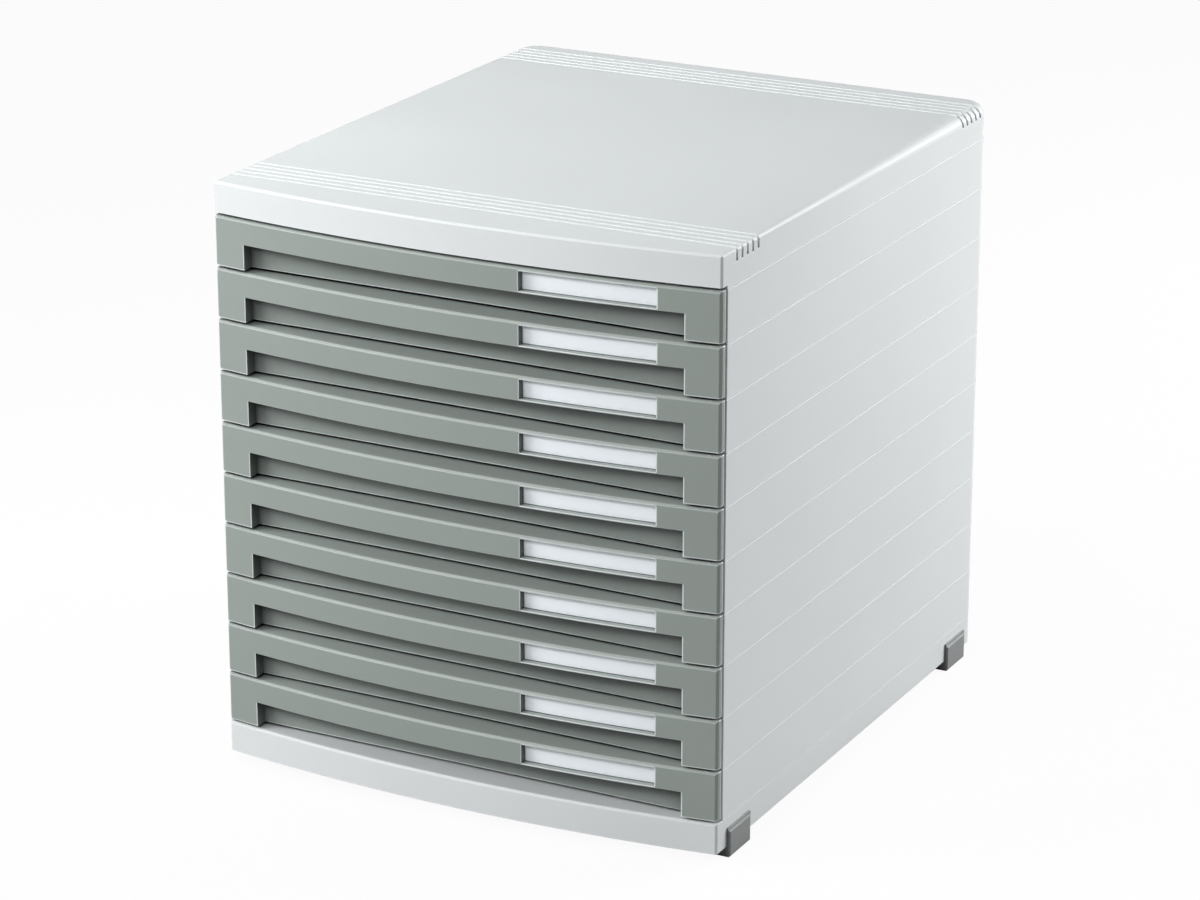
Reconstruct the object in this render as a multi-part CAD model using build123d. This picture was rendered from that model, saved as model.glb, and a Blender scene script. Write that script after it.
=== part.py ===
from build123d import *
from math import cos, pi, sin, sqrt
import os

# A desk cabinet with ten shallow closed drawers for A4 sheets, moulded in plastic.
# A bow-fronted base frame, ten stacked casing levels and a bow-fronted top cover
# make the casing. Each level is one moulding: deck, side walls and back wall.
# Each drawer is one moulding too: a bowed front with a hanging finger bar, and a tray.
# Millimetres, +Z up, the drawers open towards -Y, +X is the right as one faces them.
# The origin is under the middle of the overall box, at the bottom of the feet.

# Overall shape
casing_width = 275.0
corner_depth = 320.0        # from the front corners to the back
bow_rise = 10.0             # how far the middle of the front stands before its corners
rear_corner_radius = 13.0
front_corner_break = 0.9    # on the upright front corners of base frame and cover

# Heights, from the floor up
foot_drop = 5.5             # how far the feet hold the casing off the table
base_height = 15.8          # base frame, at its front face
level_count = 10
level_pitch = 26.7
front_gap = 1.5             # between one drawer front and the next, and the fascia
fascia_height = 15.7        # top cover, at its front face
seam_drop = 0.5             # the casing seams lie this far under the top edge of a front

# Casing mouldings
casing_wall = 2.5
wall_setback = 5.6          # front edge of the side walls, behind the front corners
wall_edge_break = 0.6       # on the front edges of the side walls
seam_chamfer = 0.35
deck_thickness = 1.6
deck_setback = 10.0         # front edge of the decks, behind the side walls' front edge
ridge_height = 1.4          # ridge under each deck and the cover, keyed into the level below
ridge_width = 1.5
ridge_clearance = 0.2
ridge_root = 3.0            # height of the thicker strip that carries the cover's ridges
stop_rib_setback = 30.0     # back of the drawer stop, behind the side walls' front edge
stop_rib_length = 3.0
stop_rib_height = 11.0
stop_rib_lift = 4.0         # over the deck
stop_rib_depth = 1.4

# Base frame and top cover
base_ledge_thickness = 2.2
base_beam_wall = 2.0
beam_clearance = 0.2
cover_plate = 3.0
cover_corner_fill = 5.0     # sloped fill inside the cover, where edges and slots would leave it thin
cover_rib_depth = 4.0
cover_rib_width = 1.5
cover_rib_count = 3
side_round_front = 1.2      # rounding of the cover's long top edges, where it starts
side_round_back = 6.0       # and where it has grown to at the back
fascia_bevel = 1.0          # along the top of the fascia and of the base ledge
round_flats = 5             # flats that make up the rounding
groove_count = 5
groove_pitch = 5.7
groove_width = 2.0
groove_depth = 0.8          # in the top
slot_depth = 2.4            # where the grooves run on down the sides
groove_drop = 6.3           # lower end of the slots, under the top
groove_from_end = 15.4      # outer groove of each group, from the front corner or the back

# Drawer fronts
front_side_depth = 4.0      # how far the front reaches back at its ends
drawer_corner_break = 1.2
front_top_bevel = 1.0
front_ledge = 2.0           # thickness of the closed top
bar_height = 12.5           # the bar over the finger recess
bar_skin = 2.0
post_width = 18.0
panel_setback = 4.5         # face of the flat inner panel, behind the front corners
panel_thickness = 1.8
edge_break = 0.4

# Label seat in the right half of the bar
label_from_end = 31.5       # from the right end of the front to the seat
label_length = 70.0
label_top_lip = 1.7
label_bottom_lip = 1.0
label_seat_depth = 4.4
label_seat_wall = 1.4
card_thickness = 0.3
window_thickness = 0.8
label_fit = 0.15            # play round card and window in their seat

# Drawer trays
tray_side_clearance = 2.2
tray_top_clearance = 2.0    # under the next deck
tray_rear_clearance = 3.0
tray_wall = 1.6
tray_floor = 1.6
tray_floor_bevel = 2.5      # along the foot of the tray walls, inside
stop_nub_depth = 1.4
stop_nub_length = 4.0
stop_nub_height = 9.0
stop_nub_lift = 5.0         # over the deck
stop_nub_setback = 38.5     # front of the nub, from the back of the tray

# Feet, clipped over the lower edge of the base frame
foot_length = 23.0
foot_front_setback = 11.0
foot_rear_setback = 19.5
foot_reach = 22.0           # width of the sole, in from the outer plate
foot_plate = 1.9
foot_plate_rise = 8.4
foot_flange = 0.8
foot_flange_rise = 9.6
foot_flange_overhang = 2.0
foot_flange_height = 4.2
foot_flange_round = 1.2
foot_clip = 1.8
foot_clip_rise = 8.0
foot_edge_break = 0.6

# Only for cutting shapes: how far a cutter stands out of what it cuts
overcut = 1.0

# Places that follow from the sizes above
half_width = casing_width / 2
y_corner = -(corner_depth + bow_rise) / 2 + bow_rise
y_apex = y_corner - bow_rise
y_back = y_corner + corner_depth
y_walls = y_corner + wall_setback
y_decks = y_walls + deck_setback
y_panel = y_corner + panel_setback
y_panel_back = y_panel + panel_thickness
z_base = foot_drop
z_ledge = z_base + base_height
z_first_seam = z_ledge - seam_drop
z_last_seam = z_first_seam + level_count * level_pitch
z_fascia = z_ledge + level_count * level_pitch + front_gap
z_top = z_fascia + fascia_height
front_height = level_pitch - front_gap
inner_half = half_width - casing_wall
inner_radius = rear_corner_radius - casing_wall
y_inner_back = y_back - casing_wall
tray_half = inner_half - tray_side_clearance
y_tray_back = y_inner_back - tray_rear_clearance
tray_radius = inner_radius - tray_side_clearance
label_left = half_width - label_from_end - label_length
label_right = label_left + label_length
bow_radius = (half_width**2 + bow_rise**2) / (2 * bow_rise)
y_bow_centre = y_apex + bow_radius


def bow_y(x, depth=0.0):
    """Y of the surface that runs parallel to the bowed front, depth behind it."""
    return y_bow_centre - sqrt((bow_radius - depth) ** 2 - x**2)


def bow_arc(x_start, x_end, depth=0.0):
    """Edge of that surface in plan, between two places across the front."""
    x_mid = (x_start + x_end) / 2
    ends = [(x, bow_y(x, depth)) for x in (x_start, x_mid, x_end)]
    return ThreePointArc(*ends)


def block(x_span, y_span, z_span):
    """A box given by its two limits on each axis."""
    spans = [sorted(span) for span in (x_span, y_span, z_span)]
    sizes = [high - low for low, high in spans]
    middle = [(high + low) / 2 for low, high in spans]
    return Pos(*middle) * Box(*sizes)


def upright(face, z_low, z_high):
    """A plan face raised into a solid between two heights."""
    return extrude(Pos(0, 0, z_low) * face, z_high - z_low)


def bowed_face(x_start, x_end, depth, y_end):
    """Plan face from the bowed surface back to a straight line."""
    front = bow_arc(x_start, x_end, depth)
    start = (x_start, bow_y(x_start, depth))
    end = (x_end, bow_y(x_end, depth))
    sides = Polyline(end, (x_end, y_end), (x_start, y_end), start)
    return make_face([front] + sides.edges())


def bowed_band(x_start, x_end, depth_near, depth_far):
    """Plan face between two surfaces parallel to the bowed front."""
    near = bow_arc(x_start, x_end, depth_near)
    far = bow_arc(x_start, x_end, depth_far)
    left = Line((x_start, bow_y(x_start, depth_near)), (x_start, bow_y(x_start, depth_far)))
    right = Line((x_end, bow_y(x_end, depth_near)), (x_end, bow_y(x_end, depth_far)))
    return make_face([near, right, far, left])


def round_rear(face, radius):
    """Round the two rear corners of a plan face."""
    rear = face.vertices().group_by(Axis.Y)[-1]
    return fillet(rear, radius)


def casing_outline(y_front):
    """Plan of the casing behind a straight front line, rear corners rounded."""
    face = Pos(0, (y_front + y_back) / 2) * Rectangle(casing_width, y_back - y_front)
    return round_rear(face, rear_corner_radius)


def casing_inside(y_front):
    """Plan of the space inside the casing walls."""
    middle = (y_front + y_inner_back) / 2
    face = Pos(0, middle) * Rectangle(2 * inner_half, y_inner_back - y_front)
    return round_rear(face, inner_radius)


def bowed_outline():
    """Plan of the base frame and the top cover, with the bowed front."""
    face = bowed_face(-half_width, half_width, 0, y_back)
    face = round_rear(face, rear_corner_radius)
    return break_front_corners(face, front_corner_break)


def break_front_corners(face, length):
    """Take the sharp edge off the two corners where the bow ends."""
    corners = [v for v in face.vertices() if v.Y < y_corner + length]
    return chamfer(corners, length)


def bowed_edge(body, z_level):
    """The foremost bowed edge of a body at one height."""
    arcs = body.edges().filter_by(GeomType.CIRCLE).filter_by_position(Axis.Z, z_level, z_level)
    return arcs.sort_by(Axis.Y)[0]


def key_ridges(z_low, z_high, clearance):
    """Three straight ridges along the inside of the side walls and the back wall."""
    reach = ridge_clearance + ridge_width
    x_end = inner_half - inner_radius
    y_end = y_inner_back - inner_radius
    y_span = (y_inner_back - reach, y_inner_back - clearance)
    ridges = block((-x_end, x_end), y_span, (z_low, z_high))
    for side in (-1, 1):
        x_span = (side * (inner_half - reach), side * (inner_half - clearance))
        ridges += block(x_span, (y_decks, y_end), (z_low, z_high))
    return ridges


def casing_level(z_low):
    """One storey: deck, side walls with drawer stops, and back wall."""
    z_high = z_low + level_pitch
    plan = casing_outline(y_walls)
    plan = chamfer(plan.vertices().group_by(Axis.Y)[0], wall_edge_break)
    level = upright(plan, z_low, z_high)
    level = chamfer(level.faces().sort_by(Axis.Z)[-1].edges(), seam_chamfer)
    level -= upright(casing_inside(y_walls - overcut), z_low + deck_thickness, z_high)
    level -= block((-inner_half, inner_half), (y_walls - overcut, y_decks), (z_low, z_high))
    level += key_ridges(z_low - ridge_height, z_low, ridge_clearance)
    y_rib = y_walls + stop_rib_setback
    z_rib = z_low + deck_thickness + stop_rib_lift
    for side in (-1, 1):
        x_span = (side * inner_half, side * (inner_half - stop_rib_depth))
        y_span = (y_rib - stop_rib_length, y_rib)
        level += block(x_span, y_span, (z_rib, z_rib + stop_rib_height))
    return level


def base_frame():
    """Ring of walls with a hollow bowed beam and its ledge across the front."""
    frame = upright(bowed_outline(), z_base, z_ledge)
    frame = chamfer(bowed_edge(frame, z_ledge), fascia_bevel)
    x_span = (-half_width - overcut, half_width + overcut)
    frame -= block(x_span, (y_walls, y_back + overcut), (z_first_seam, z_ledge))
    y_beam = y_decks - beam_clearance
    frame -= upright(casing_inside(y_beam), z_base, z_first_seam)
    hollow_plan = bowed_face(-inner_half, inner_half, casing_wall, y_beam - base_beam_wall)
    frame -= upright(hollow_plan, z_base, z_ledge - base_ledge_thickness)
    return frame


def spandrel(radius):
    """What a rounding takes off a square corner at the origin, with room outside it."""
    angles = [index * pi / 2 / round_flats for index in range(round_flats + 1)]
    bend = [(radius * (sin(angle) - 1), radius * (cos(angle) - 1)) for angle in angles]
    room = [(overcut, -radius), (overcut, overcut), (-radius, overcut)]
    return make_face(Polyline(*bend, *room, close=True))


def round_cover_top(cover):
    """Round the long top edges, tight at the front and growing towards the back."""
    y_taper_end = y_back - rear_corner_radius
    x_tangent = half_width - rear_corner_radius
    for side in (-1, 1):
        facing = {"x_dir": (side, 0, 0), "z_dir": (0, -side, 0)}
        front = Plane((side * half_width, y_apex - overcut, z_top), **facing)
        rear = Plane((side * half_width, y_taper_end, z_top), **facing)
        tight = front * spandrel(side_round_front)
        wide = rear * spandrel(side_round_back)
        cover -= loft([tight, wide])
        axis = Axis((side * x_tangent, y_taper_end, 0), (0, 0, side))
        cover -= revolve(wide, axis, 90)
    back = Plane((-x_tangent, y_back, z_top), x_dir=(0, 1, 0), z_dir=(1, 0, 0))
    cover -= extrude(back * spandrel(side_round_back), 2 * x_tangent)
    return cover


def groove_cutter(y_middle):
    """One shallow groove across the top that ends in a deeper slot down each side."""
    z_end = z_top - groove_drop
    height = groove_drop - groove_depth
    bottom_middle = (Align.CENTER, Align.MIN)
    around = Rectangle(casing_width + 2 * overcut, groove_drop + overcut, align=bottom_middle)
    kept = Rectangle(casing_width - 2 * slot_depth, height, align=bottom_middle)
    # A wide rounding needs the groove's corner cut back, to stay as deep half way round it.
    share = (y_middle - y_apex) / (y_back - rear_corner_radius - y_apex)
    edge_round = side_round_front + share * (side_round_back - side_round_front)
    rounding_to_corner = (sqrt(2) - 1) * edge_round
    corner_cut = sqrt(2) * (rounding_to_corner + groove_depth) - slot_depth - groove_depth
    if corner_cut > 0:
        kept = chamfer(kept.vertices().group_by(Axis.Y)[-1], corner_cut)
    section = Plane((0, y_middle + groove_width / 2, z_end), x_dir=(1, 0, 0), z_dir=(0, -1, 0))
    return extrude(section * (around - kept), groove_width)


def cover_ribs(z_plate):
    """Crossed ribs under the plate of the cover."""
    z_span = (z_plate - cover_rib_depth, z_plate)
    half_rib = cover_rib_width / 2
    y_middle = (y_walls + y_inner_back) / 2
    ribs = block((-inner_half, inner_half), (y_middle - half_rib, y_middle + half_rib), z_span)
    spacing = casing_width / (cover_rib_count + 1)
    for index in range(cover_rib_count):
        x_rib = (index + 1) * spacing - half_width
        ribs += block((x_rib - half_rib, x_rib + half_rib), (y_walls, y_inner_back), z_span)
    return ribs


def top_cover():
    """Shell with bowed fascia, keyed skirt, ribbed underside and two groups of grooves."""
    cover = upright(bowed_outline(), z_last_seam, z_top)
    x_span = (-half_width - overcut, half_width + overcut)
    cover -= block(x_span, (y_apex - overcut, y_walls), (z_last_seam, z_fascia))
    cover = chamfer(bowed_edge(cover, z_top), fascia_bevel)
    cover = round_cover_top(cover)
    z_plate = z_top - cover_plate
    hollow_plan = bowed_face(-inner_half, inner_half, casing_wall, y_inner_back)
    hollow = upright(round_rear(hollow_plan, inner_radius), z_last_seam, z_plate)
    upper_sides = hollow.edges().filter_by(Axis.Y).group_by(Axis.Z)[-1]
    cover -= chamfer(upper_sides, cover_corner_fill)
    cover += cover_ribs(z_plate)
    cover += key_ridges(z_last_seam, z_last_seam + ridge_root, 0)
    cover += key_ridges(z_last_seam - ridge_height, z_last_seam, ridge_clearance)
    for index in range(groove_count):
        step = groove_from_end + index * groove_pitch
        cover -= groove_cutter(y_corner + step)
        cover -= groove_cutter(y_back - step)
    return cover


def drawer_front(z_low):
    """Bowed front: closed top, hanging finger bar with label seat, posts, inner panel."""
    z_high = z_low + front_height
    z_bar = z_high - bar_height
    z_under_ledge = z_high - front_ledge
    x_post = half_width - post_width
    plan = bowed_face(-half_width, half_width, 0, y_corner + front_side_depth)
    body = upright(break_front_corners(plan, drawer_corner_break), z_low, z_high)
    body = chamfer(bowed_edge(body, z_high), front_top_bevel)
    body += block((-tray_half, tray_half), (y_corner, y_panel_back), (z_low, z_high))
    body -= upright(bowed_face(-x_post, x_post, -overcut, y_panel), z_low, z_bar)
    channel_plan = bowed_face(-x_post, x_post, bar_skin, y_panel)
    seat_wall_plan = bowed_band(
        label_left - label_seat_wall,
        label_right + label_seat_wall,
        bar_skin,
        label_seat_depth + label_seat_wall,
    )
    body -= upright(channel_plan - seat_wall_plan, z_bar, z_under_ledge)
    body -= label_space(z_low, -overcut, label_seat_depth, 0)
    return chamfer(bowed_edge(body, z_bar), edge_break)


def label_space(z_low, depth_near, depth_far, play):
    """What fills the label seat between two depths, with some play all round."""
    z_high = z_low + front_height
    z_bottom = z_high - bar_height + label_bottom_lip + play
    z_upper = z_high - label_top_lip - play
    plan = bowed_band(label_left + play, label_right - play, depth_near, depth_far)
    return upright(plan, z_bottom, z_upper)


def label_piece(z_low, depth_behind, thickness):
    """A curved strip that stands in the label seat, so far behind the bowed face."""
    return label_space(z_low, depth_behind - thickness, depth_behind, label_fit)


def tray_plan(inset, y_front):
    """Plan of the tray, or of the space in it, rear corners rounded."""
    y_rear = y_tray_back - inset
    plan = Pos(0, (y_front + y_rear) / 2) * Rectangle(2 * (tray_half - inset), y_rear - y_front)
    return round_rear(plan, tray_radius - inset)


def drawer_tray(z_low, z_deck):
    """Open tray behind the front; its stop nubs meet the ribs on the casing walls."""
    z_high = z_deck - deck_thickness + level_pitch - tray_top_clearance
    tray = upright(tray_plan(0, y_panel), z_low, z_high)
    space = upright(tray_plan(tray_wall, y_panel_back), z_low + tray_floor, z_high)
    tray -= chamfer(space.faces().sort_by(Axis.Z)[0].edges(), tray_floor_bevel)
    y_nub = y_tray_back - stop_nub_setback
    z_nub = z_deck + stop_nub_lift
    for side in (-1, 1):
        x_span = (side * tray_half, side * (tray_half + stop_nub_depth))
        y_span = (y_nub, y_nub + stop_nub_length)
        tray += block(x_span, y_span, (z_nub, z_nub + stop_nub_height))
    return tray


def drawer(z_low, z_deck):
    """Front and tray, moulded in one."""
    return drawer_front(z_low) + drawer_tray(z_low, z_deck)


def foot(side, y_front):
    """Clip-on foot: outer plate, sole, inner clip round the base wall, flange with its tab."""
    y_rear = y_front + foot_length
    x_out = half_width + foot_plate
    x_flange = (half_width, half_width + foot_flange)
    z_flange = z_base + foot_flange_rise
    y_clip = y_front + wall_setback + deck_setback - foot_front_setback
    plate = block((half_width, x_out), (y_front, y_rear), (0, z_base + foot_plate_rise))
    sole = block((x_out - foot_reach, x_out), (y_front, y_rear), (0, z_base))
    whole = plate + sole
    outer = whole.faces().sort_by(Axis.X)[-1]
    whole = chamfer(outer.edges(), foot_edge_break)
    x_clip = (inner_half - foot_clip, inner_half)
    whole += block(x_clip, (y_clip, y_rear), (z_base, z_base + foot_clip_rise))
    whole += block(x_flange, (y_front, y_rear), (z_base, z_flange))
    y_tab = (y_rear, y_rear + foot_flange_overhang)
    tab = block(x_flange, y_tab, (z_flange - foot_flange_height, z_flange))
    tab = fillet(tab.edges().filter_by(Axis.X).group_by(Axis.Y)[-1], foot_flange_round)
    whole += tab
    return whole if side > 0 else mirror(whole, Plane.YZ)


def build():
    """Every piece by name."""
    pieces = {"base_frame": base_frame(), "top_cover": top_cover()}
    card_back = label_seat_depth - label_fit
    window_back = card_back - card_thickness - label_fit
    for number in range(1, level_count + 1):
        z_seam = z_first_seam + (level_count - number) * level_pitch
        z_deck = z_seam + deck_thickness
        z_front = z_seam + seam_drop + front_gap
        tag = f"{number:02d}"
        pieces["casing_level_" + tag] = casing_level(z_seam)
        pieces["drawer_" + tag] = drawer(z_front, z_deck)
        pieces["label_card_" + tag] = label_piece(z_front, card_back, card_thickness)
        pieces["label_window_" + tag] = label_piece(z_front, window_back, window_thickness)
    y_foot_front = y_corner + foot_front_setback
    y_foot_rear = y_back - foot_rear_setback - foot_length
    for place, y_front in (("front", y_foot_front), ("rear", y_foot_rear)):
        pieces[f"foot_{place}_left"] = foot(-1, y_front)
        pieces[f"foot_{place}_right"] = foot(1, y_front)
    return pieces


os.makedirs("parts", exist_ok=True)
for name, piece in build().items():
    piece.label = name
    export_step(piece, f"parts/{name}.step")
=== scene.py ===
import math

import bpy
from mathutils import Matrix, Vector

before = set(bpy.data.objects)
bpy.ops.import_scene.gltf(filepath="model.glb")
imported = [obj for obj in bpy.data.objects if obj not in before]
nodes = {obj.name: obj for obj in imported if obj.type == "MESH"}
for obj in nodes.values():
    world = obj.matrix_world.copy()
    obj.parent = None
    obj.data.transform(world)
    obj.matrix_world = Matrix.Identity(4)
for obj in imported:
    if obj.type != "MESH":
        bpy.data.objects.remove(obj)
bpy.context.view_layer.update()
scene = bpy.context.scene
MM = 0.001


# Which part of a value counts, as the lowest and the highest value used

FULL = (0.0, 1.0)
NOISE_SPREAD = (0.3, 0.7)
NOISE_MIDDLE = (0.35, 0.65)
NOISE_SPECKS = (0.55, 0.8)
WEAR_AND_HIGHLIGHT_PATCHES = (0.4, 0.62)
PAPER_AGEING = (0.4, 0.7)
SMEAR_GLOSS = (0.35, 0.75)
SMEAR_TINT = (0.4, 0.7)
WALL_OPENNESS = (0.2, 0.72)
GAP_OPENNESS = (0.06, 0.25)
TOP_LIGHT_AND_DUST_OPENNESS = (0.1, 0.3)
WEAR_AND_HIGHLIGHT_OPENNESS = (0.4, 0.7)
SHARP_EDGE = (0.64, 0.93)
LEVEL_FACE = (0.3, 0.8)

# Moulded surfaces: sizes of their marks, then strengths

CLOUD_SIZE = 110 * MM
SPECK_SIZE = 6 * MM
WEAR_AND_HIGHLIGHT_PATCH_SIZE = 18 * MM
WAVE_SIZE = 45 * MM
SHADE_REACH = 22 * MM
RIM_ROUNDING = 0.6 * MM

UPWARD_LEAN = 1.3
SPECK_STRENGTH = 0.35
SHADE_TONE = 0.1
SHADE_LEAST = 0.85
TOP_LIGHT_AND_DUST_SHARE = 0.4
WEAR_AND_HIGHLIGHT_LEAST = 0.8
WORN_POLISH = 0.3
SMOOTHER_BY = 0.05
ROUGHER_BY = 0.06
WAVE_HEIGHT = 6.0
SKIN_STRENGTH = 0.35

# Pale film on open upward faces: dust, and painted top light
DUST_AND_TOP_LIGHT = (0.54, 0.6, 0.57)
# Edges go towards this white: wear, and painted highlight
WEAR_AND_HIGHLIGHT_WHITE = (0.94, 0.98, 1.0)

# Label card and window

FIBRE_SIZE = 1.1 * MM
FIBRE_STRETCH = (0.35, 1, 1.6)
FIBRE_DARK = 0.95
FIBRE_STRENGTH = 0.3
FIBRE_DEPTH = 0.04 * MM
AGEING_SIZE = 50 * MM
AGEING_STRENGTH = 0.25
AGED_PAPER = (0.99, 0.97, 0.93)
PAPER_ROUGH = (0.82, 0.95)
PAPER_SHEEN = 0.2
PAPER_GLOW_COLOUR = (0.87, 0.95, 1.0, 1.0)
PAPER_GLOW = 0.07

SMEAR_SIZE = 14 * MM
SMEAR_STRETCH = (1, 1, 2.5)
SMEAR_STRENGTH = 0.1
SMEAR_DEPTH = 0.1 * MM
WINDOW_ROUGH = (0.06, 0.2)
WINDOW_CLEAN = (0.97, 0.98, 0.99)
WINDOW_SMEARED = (0.93, 0.95, 0.97)
WINDOW_IOR = 1.49
WINDOW_ALPHA = 0.04

# Stage: the floor is in metres

FLOOR_HALF = 6
FLOOR_DROP = 0.2 * MM
FLOOR_GREY = (0.4, 0.4, 0.4, 1.0)
FLOOR_ROUGH = 0.9
FLOOR_GLOW = 1.07
FLOOR_GLOW_SHARE = 0.88
WHITE = (1, 1, 1, 1)
WORLD_SEEN = 1.0
WORLD_LIGHT = 0.105
CABINET_MIDDLE = (0, 0, 0.15)

# Camera: focal length and width in pixels of the photograph, place in metres, angles in degrees

PHOTO_WIDTH_PX = 1200
FOCAL_LENGTH_PX = 4165.7
SENSOR_WIDTH_MM = 36
CAMERA_PLACE = (0.93286, -1.79713, 0.85104)
CAMERA_LOOKS_DOWN = 19.32
CAMERA_TURN = 27.60
CAMERA_NEAR = 0.05
CAMERA_FAR = 50


class Shader:
    """A node tree under construction, with short calls for the usual nodes."""

    def __init__(self, name):
        self.material = bpy.data.materials.new(name)
        self.material.use_nodes = True
        self.tree = self.material.node_tree
        self.bsdf = self.tree.nodes["Principled BSDF"]
        self.place = self.add("ShaderNodeTexCoord").outputs["Object"]

    def add(self, kind, **settings):
        node = self.tree.nodes.new(kind)
        for key, value in settings.items():
            setattr(node, key, value)
        return node

    def join(self, output, target):
        self.tree.links.new(output, target)

    def feed(self, value, socket):
        """Puts a number, a colour or another node's output into a socket."""
        if isinstance(value, (int, float)):
            socket.default_value = value
        elif isinstance(value, tuple):
            socket.default_value = (*value[:3], 1.0)
        else:
            self.join(value, socket)

    def noise(self, size, detail=2.0, stretch=(1, 1, 1), roughness=0.5):
        """Noise whose blotches are about size metres across."""
        scale = self.add("ShaderNodeMapping")
        scale.inputs["Scale"].default_value = [s / size for s in stretch]
        self.join(self.place, scale.inputs["Vector"])
        node = self.add("ShaderNodeTexNoise")
        node.inputs["Scale"].default_value = 1.0
        node.inputs["Detail"].default_value = detail
        node.inputs["Roughness"].default_value = roughness
        self.join(scale.outputs["Vector"], node.inputs["Vector"])
        return node.outputs["Fac"]

    def fit(self, value, low, high, used=FULL):
        """The used part of the value brought to the range from low to high."""
        node = self.add("ShaderNodeMapRange")
        node.inputs["From Min"].default_value = used[0]
        node.inputs["From Max"].default_value = used[1]
        node.inputs["To Min"].default_value = low
        node.inputs["To Max"].default_value = high
        self.join(value, node.inputs["Value"])
        return node.outputs["Result"]

    def math(self, kind, a, b):
        node = self.add("ShaderNodeMath", operation=kind)
        self.feed(a, node.inputs[0])
        self.feed(b, node.inputs[1])
        return node.outputs["Value"]

    def mix(self, factor, a, b):
        """Two colours mixed: all a where the factor is 0, all b where it is 1."""
        node = self.add("ShaderNodeMix", data_type="RGBA")
        node.clamp_factor = True
        sockets = [s for s in node.inputs if s.enabled]
        self.feed(factor, sockets[0])
        self.feed(a, sockets[1])
        self.feed(b, sockets[2])
        return [s for s in node.outputs if s.enabled][0]

    def normal(self):
        return self.add("ShaderNodeNewGeometry").outputs["Normal"]

    def facing_up(self):
        """1 on faces that look up, 0 on walls and undersides."""
        parts = self.add("ShaderNodeSeparateXYZ")
        self.join(self.normal(), parts.inputs[0])
        return self.fit(parts.outputs["Z"], 0, 1, LEVEL_FACE)

    def leant_normal(self):
        """The surface normal leant upwards."""
        leant = self.add("ShaderNodeVectorMath", operation="ADD")
        leant.inputs[1].default_value = (0, 0, UPWARD_LEAN)
        self.join(self.normal(), leant.inputs[0])
        unit = self.add("ShaderNodeVectorMath", operation="NORMALIZE")
        self.join(leant.outputs["Vector"], unit.inputs[0])
        return unit.outputs["Vector"]

    def openness(self):
        """How open a place is in front of its face and above: 1 in the open, 0 deep in a gap."""
        cover = self.add("ShaderNodeAmbientOcclusion", samples=8)
        cover.inputs["Distance"].default_value = SHADE_REACH
        self.join(self.leant_normal(), cover.inputs["Normal"])
        return cover.outputs["AO"]

    def rounded_normal(self):
        """The normal with sharp edges rounded a little."""
        rim = self.add("ShaderNodeBevel", samples=4)
        rim.inputs["Radius"].default_value = RIM_ROUNDING
        return rim.outputs["Normal"]

    def bump(self, height, strength, depth, normal=None):
        """Gives the surface a relief of the given depth in metres."""
        bump = self.add("ShaderNodeBump")
        bump.inputs["Strength"].default_value = strength
        bump.inputs["Distance"].default_value = depth
        self.join(height, bump.inputs["Height"])
        if normal is not None:
            self.join(normal, bump.inputs["Normal"])
        self.join(bump.outputs["Normal"], self.bsdf.inputs["Normal"])


def linear(level):
    """A picture's colour level, 0 to 255, as linear light (the sRGB curve)."""
    v = level / 255
    return v / 12.92 if v <= 0.04045 else ((v + 0.055) / 1.055) ** 2.4


def colour(r, g, b):
    return (linear(r), linear(g), linear(b))


def scaled(base, factor):
    return tuple(c * factor for c in base)


# Moulded plastic, one function for each thing that shows on it


def clouded(s, base, cloud, broad, fine):
    """The base colour with faint clouds and paler specks."""
    darker = scaled(base, 1 - cloud)
    lighter = tuple(min(1.0, c) for c in scaled(base, 1 + cloud))
    tint = s.mix(s.fit(broad, 0, 1, NOISE_SPREAD), darker, lighter)
    return s.mix(s.fit(fine, 0, SPECK_STRENGTH, NOISE_SPECKS), tint, lighter)


def with_painted_shade(s, tint, base, shade_and_dust, broad, seen, up):
    """Painted shade: the colour made dark on covered walls and in narrow gaps, where shade falls.
    """
    wall = s.math("MULTIPLY", s.fit(seen, 1, 0, WALL_OPENNESS), s.math("SUBTRACT", 1, up))
    covered = s.math("MAXIMUM", wall, s.fit(seen, 1, 0, GAP_OPENNESS))
    patchy = s.math("MULTIPLY", covered, s.fit(broad, SHADE_LEAST, 1, NOISE_MIDDLE))
    return s.mix(s.math("MULTIPLY", patchy, shade_and_dust), tint, scaled(base, SHADE_TONE))


def dusted_and_top_lit(s, tint, shade_and_dust, seen, up):
    """The colour under a pale film on open faces that look up: a thin film of dust, and painted
    top light that makes these faces lighter.
    """
    top_light_and_dust_film = s.math("MULTIPLY", up, s.fit(seen, 0, shade_and_dust * TOP_LIGHT_AND_DUST_SHARE, TOP_LIGHT_AND_DUST_OPENNESS))
    return s.mix(top_light_and_dust_film, tint, DUST_AND_TOP_LIGHT)


def rubbed_and_highlit_edges(s, rim_width, seen):
    """Up to 1 along outer edges, in patches, and 0 elsewhere: where hands and cloths rub, and
    where edges get a painted highlight.
    """
    crest = s.add("ShaderNodeAmbientOcclusion", samples=16, inside=True, only_local=True)
    crest.inputs["Distance"].default_value = rim_width
    sharp = s.fit(crest.outputs["AO"], 1, 0, SHARP_EDGE)
    edge = s.math("MULTIPLY", sharp, s.fit(seen, 0, 1, WEAR_AND_HIGHLIGHT_OPENNESS))
    patches = s.fit(s.noise(WEAR_AND_HIGHLIGHT_PATCH_SIZE, detail=4.0), WEAR_AND_HIGHLIGHT_LEAST, 1, WEAR_AND_HIGHLIGHT_PATCHES)
    return s.math("MULTIPLY", edge, patches)


def worn_and_highlit_colour(base, wear_and_highlight):
    """The base colour on a rubbed edge, gone towards white for wear and painted highlight:
    wear_and_highlight is how far.
    """
    return tuple(c + (w - c) * wear_and_highlight for c, w in zip(base, WEAR_AND_HIGHLIGHT_WHITE))


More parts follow.
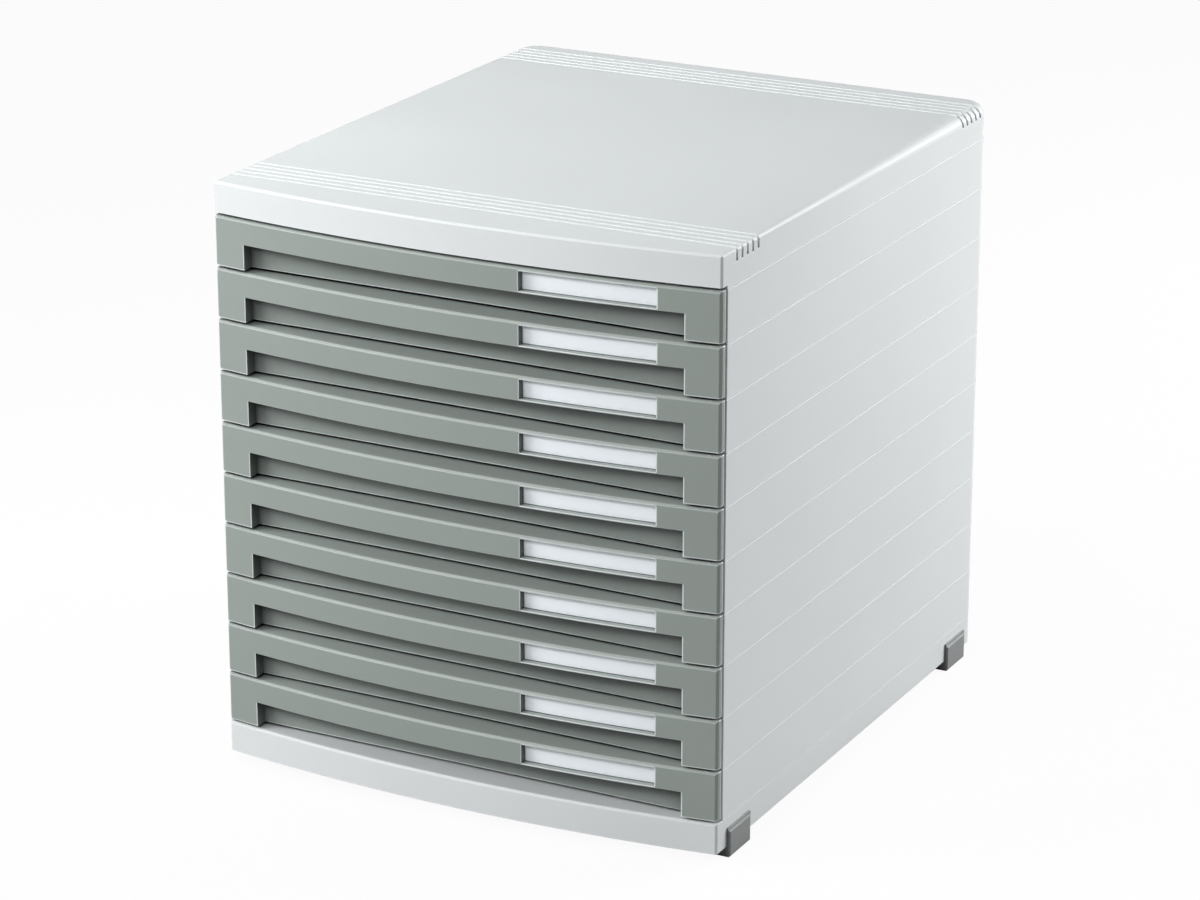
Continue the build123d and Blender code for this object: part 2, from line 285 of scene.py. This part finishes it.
def uneven_roughness(s, rough, broad, fine, rubbed_and_highlit):
    """Roughness that varies in clouds and specks and is smoother on rubbed edges."""
    uneven = s.math("ADD", s.math("MULTIPLY", broad, 0.5), s.math("MULTIPLY", fine, 0.5))
    skin = s.fit(uneven, rough - SMOOTHER_BY, rough + ROUGHER_BY, NOISE_MIDDLE)
    return s.math("SUBTRACT", skin, s.math("MULTIPLY", rubbed_and_highlit, WORN_POLISH))


def skin_relief(s, spark):
    """Height of a spark-eroded skin with spots of size spark, on slow waves."""
    grain = s.noise(spark, detail=2.0, roughness=0.6)
    waves = s.noise(WAVE_SIZE, detail=1.0)
    return s.math("ADD", grain, s.math("MULTIPLY", waves, WAVE_HEIGHT))


def moulded_plastic(name, base, rough, sheen, spark, spark_depth, cloud, shade_and_dust, wear_and_highlight, rim_width):
    """Moulded plastic: spark-eroded skin, faint clouds, painted shade in recesses and gaps, a dust
    film with painted top light on upward faces, and rubbed edges with painted highlights.
    """
    s = Shader(name)
    broad = s.noise(CLOUD_SIZE, detail=3.0)
    fine = s.noise(SPECK_SIZE, detail=2.0)
    clean = clouded(s, base, cloud, broad, fine)
    seen = s.openness()
    up = s.facing_up()
    # Painted shade on covered walls and gaps, then dust and painted top light on open upward faces
    toned_colour = dusted_and_top_lit(s, with_painted_shade(s, clean, base, shade_and_dust, broad, seen, up), shade_and_dust, seen, up)
    rim = s.rounded_normal()
    rubbed_and_highlit = rubbed_and_highlit_edges(s, rim_width, seen)
    # Painted highlight: rubbed outer edges go paler, towards white
    s.join(s.mix(rubbed_and_highlit, toned_colour, worn_and_highlit_colour(base, wear_and_highlight)), s.bsdf.inputs["Base Color"])
    s.join(uneven_roughness(s, rough, broad, fine, rubbed_and_highlit), s.bsdf.inputs["Roughness"])
    s.bump(skin_relief(s, spark), SKIN_STRENGTH, spark_depth, rim)
    s.bsdf.inputs["Specular IOR Level"].default_value = sheen
    return s.material


def paper(name, base):
    """Uncoated label card, with fibres, slightly yellowed patches and a faint painted glow."""
    s = Shader(name)
    fibre = s.noise(FIBRE_SIZE, detail=4.0, stretch=FIBRE_STRETCH)
    broad = s.noise(AGEING_SIZE)
    tint = s.mix(s.fit(fibre, 0, 1, NOISE_SPREAD), scaled(base, FIBRE_DARK), base)
    yellowed = tuple(c * k for c, k in zip(base, AGED_PAPER))
    toned_colour = s.mix(s.fit(broad, 0, AGEING_STRENGTH, PAPER_AGEING), tint, yellowed)
    s.join(toned_colour, s.bsdf.inputs["Base Color"])
    s.join(s.fit(fibre, *PAPER_ROUGH), s.bsdf.inputs["Roughness"])
    s.bump(fibre, FIBRE_STRENGTH, FIBRE_DEPTH)
    s.bsdf.inputs["Specular IOR Level"].default_value = PAPER_SHEEN
    # Painted light: the card glows faintly bluish, which makes it brighter
    s.bsdf.inputs["Emission Color"].default_value = PAPER_GLOW_COLOUR
    s.bsdf.inputs["Emission Strength"].default_value = PAPER_GLOW
    return s.material


def clear_sheet(name):
    """Clear moulded window with a few faint smears."""
    s = Shader(name)
    smear = s.noise(SMEAR_SIZE, detail=3.0, stretch=SMEAR_STRETCH)
    s.join(s.fit(smear, *WINDOW_ROUGH, SMEAR_GLOSS), s.bsdf.inputs["Roughness"])
    tint = s.mix(s.fit(smear, 0, 1, SMEAR_TINT), WINDOW_CLEAN, WINDOW_SMEARED)
    s.join(tint, s.bsdf.inputs["Base Color"])
    s.bsdf.inputs["IOR"].default_value = WINDOW_IOR
    s.bsdf.inputs["Alpha"].default_value = WINDOW_ALPHA
    s.bump(smear, SMEAR_STRENGTH, SMEAR_DEPTH)
    return s.material


casing = moulded_plastic(
    "casing_light_grey",
    colour(224, 228, 229),
    rough=0.48,
    sheen=0.35,
    spark=0.5 * MM,
    spark_depth=0.03 * MM,
    cloud=0.012,
    shade_and_dust=0.3,
    wear_and_highlight=0.65,
    rim_width=1.2 * MM,
)
drawer_grey = moulded_plastic(
    "drawer_mid_grey",
    colour(147, 156, 151),
    rough=0.5,
    sheen=0.8,
    spark=0.5 * MM,
    spark_depth=0.03 * MM,
    cloud=0.02,
    shade_and_dust=0.95,
    wear_and_highlight=0.95,
    rim_width=0.8 * MM,
)
foot_grey = moulded_plastic(
    "foot_dark_grey",
    colour(143, 146, 146),
    rough=0.6,
    sheen=0.4,
    spark=0.7 * MM,
    spark_depth=0.05 * MM,
    cloud=0.03,
    shade_and_dust=0.8,
    wear_and_highlight=0.1,
    rim_width=0.8 * MM,
)
card = paper("label_card_paper", colour(244, 249, 254))
window = clear_sheet("label_window_clear")


def material_of(name):
    """A piece's material, by the start of its name: the rest is casing."""
    if name.startswith("drawer_"):
        return drawer_grey
    if name.startswith("label_card"):
        return card
    if name.startswith("label_window"):
        return window
    if name.startswith("foot_"):
        return foot_grey
    return casing


for name in nodes:
    slots = nodes[name].data.materials
    slots.clear()
    slots.append(material_of(name))


# Floor, world, lamps and camera


def floor_material():
    """White floor: nearly white to the camera, with a trace of the object's soft shadow."""
    s = Shader("white_floor")
    s.bsdf.inputs["Base Color"].default_value = FLOOR_GREY
    s.bsdf.inputs["Roughness"].default_value = FLOOR_ROUGH
    glow = s.add("ShaderNodeEmission")
    glow.inputs["Color"].default_value = WHITE
    glow.inputs["Strength"].default_value = FLOOR_GLOW
    path = s.add("ShaderNodeLightPath")
    both = s.add("ShaderNodeMixShader")
    s.join(s.math("MULTIPLY", path.outputs["Is Camera Ray"], FLOOR_GLOW_SHARE), both.inputs["Fac"])
    s.join(s.bsdf.outputs["BSDF"], both.inputs[1])
    s.join(glow.outputs["Emission"], both.inputs[2])
    s.join(both.outputs["Shader"], s.tree.nodes["Material Output"].inputs["Surface"])
    return s.material


def make_floor():
    h = FLOOR_HALF
    mesh = bpy.data.meshes.new("floor")
    mesh.from_pydata([(-h, -h, 0), (h, -h, 0), (h, h, 0), (-h, h, 0)], [], [(0, 1, 2, 3)])
    mesh.materials.append(floor_material())
    floor = bpy.data.objects.new("floor", mesh)
    floor.location.z = -FLOOR_DROP
    scene.collection.objects.link(floor)
    return floor


def make_world():
    """A dim white surrounding that the camera sees as white."""
    world = bpy.data.worlds.new("studio")
    scene.world = world
    world.use_nodes = True
    tree = world.node_tree
    background = tree.nodes["Background"]
    background.inputs["Color"].default_value = WHITE
    path = tree.nodes.new("ShaderNodeLightPath")
    strength = tree.nodes.new("ShaderNodeMath")
    strength.operation = "MULTIPLY_ADD"
    tree.links.new(path.outputs["Is Camera Ray"], strength.inputs[0])
    strength.inputs[1].default_value = WORLD_SEEN - WORLD_LIGHT
    strength.inputs[2].default_value = WORLD_LIGHT
    tree.links.new(strength.outputs["Value"], background.inputs["Strength"])


def around(azimuth, elevation, distance):
    """A place round the cabinet's middle: azimuth in degrees to the right of straight in front."""
    turn = math.radians(azimuth)
    rise = math.radians(elevation)
    out = distance * math.cos(rise)
    height = CABINET_MIDDLE[2] + distance * math.sin(rise)
    return Vector((out * math.sin(turn), -out * math.cos(turn), height))


def area_lamp(name, azimuth, elevation, distance, size, watts):
    """A rectangular lamp that faces the cabinet's middle. Its size and distance are in metres."""
    data = bpy.data.lights.new(name, "AREA")
    data.shape = "RECTANGLE"
    data.size, data.size_y = size
    data.energy = watts
    lamp = bpy.data.objects.new(name, data)
    scene.collection.objects.link(lamp)
    lamp.location = around(azimuth, elevation, distance)
    towards = Vector(CABINET_MIDDLE) - around(azimuth, elevation, distance)
    lamp.rotation_euler = towards.to_track_quat("-Z", "Y").to_euler()


def make_camera():
    """The camera that was fitted to the photograph's edges."""
    data = bpy.data.cameras.new("camera")
    data.sensor_width = SENSOR_WIDTH_MM
    data.lens = SENSOR_WIDTH_MM * FOCAL_LENGTH_PX / PHOTO_WIDTH_PX
    data.clip_start = CAMERA_NEAR
    data.clip_end = CAMERA_FAR
    camera = bpy.data.objects.new("camera", data)
    scene.collection.objects.link(camera)
    camera.location = CAMERA_PLACE
    camera.rotation_euler = (math.radians(90 - CAMERA_LOOKS_DOWN), 0, math.radians(CAMERA_TURN))
    scene.camera = camera


floor = make_floor()

area_lamp("light_left", azimuth=-50, elevation=20, distance=1.6, size=(0.8, 0.7), watts=14.2)
area_lamp("light_front", azimuth=-6, elevation=32, distance=2.0, size=(1.0, 0.4), watts=14.4)
area_lamp("light_near_top", azimuth=-65, elevation=60, distance=0.85, size=(0.45, 0.45), watts=2.7)
area_lamp("light_right_rear", azimuth=139, elevation=19, distance=1.6, size=(1.0, 0.8), watts=27.0)

make_world()
scene.view_settings.view_transform = "Standard"
make_camera()
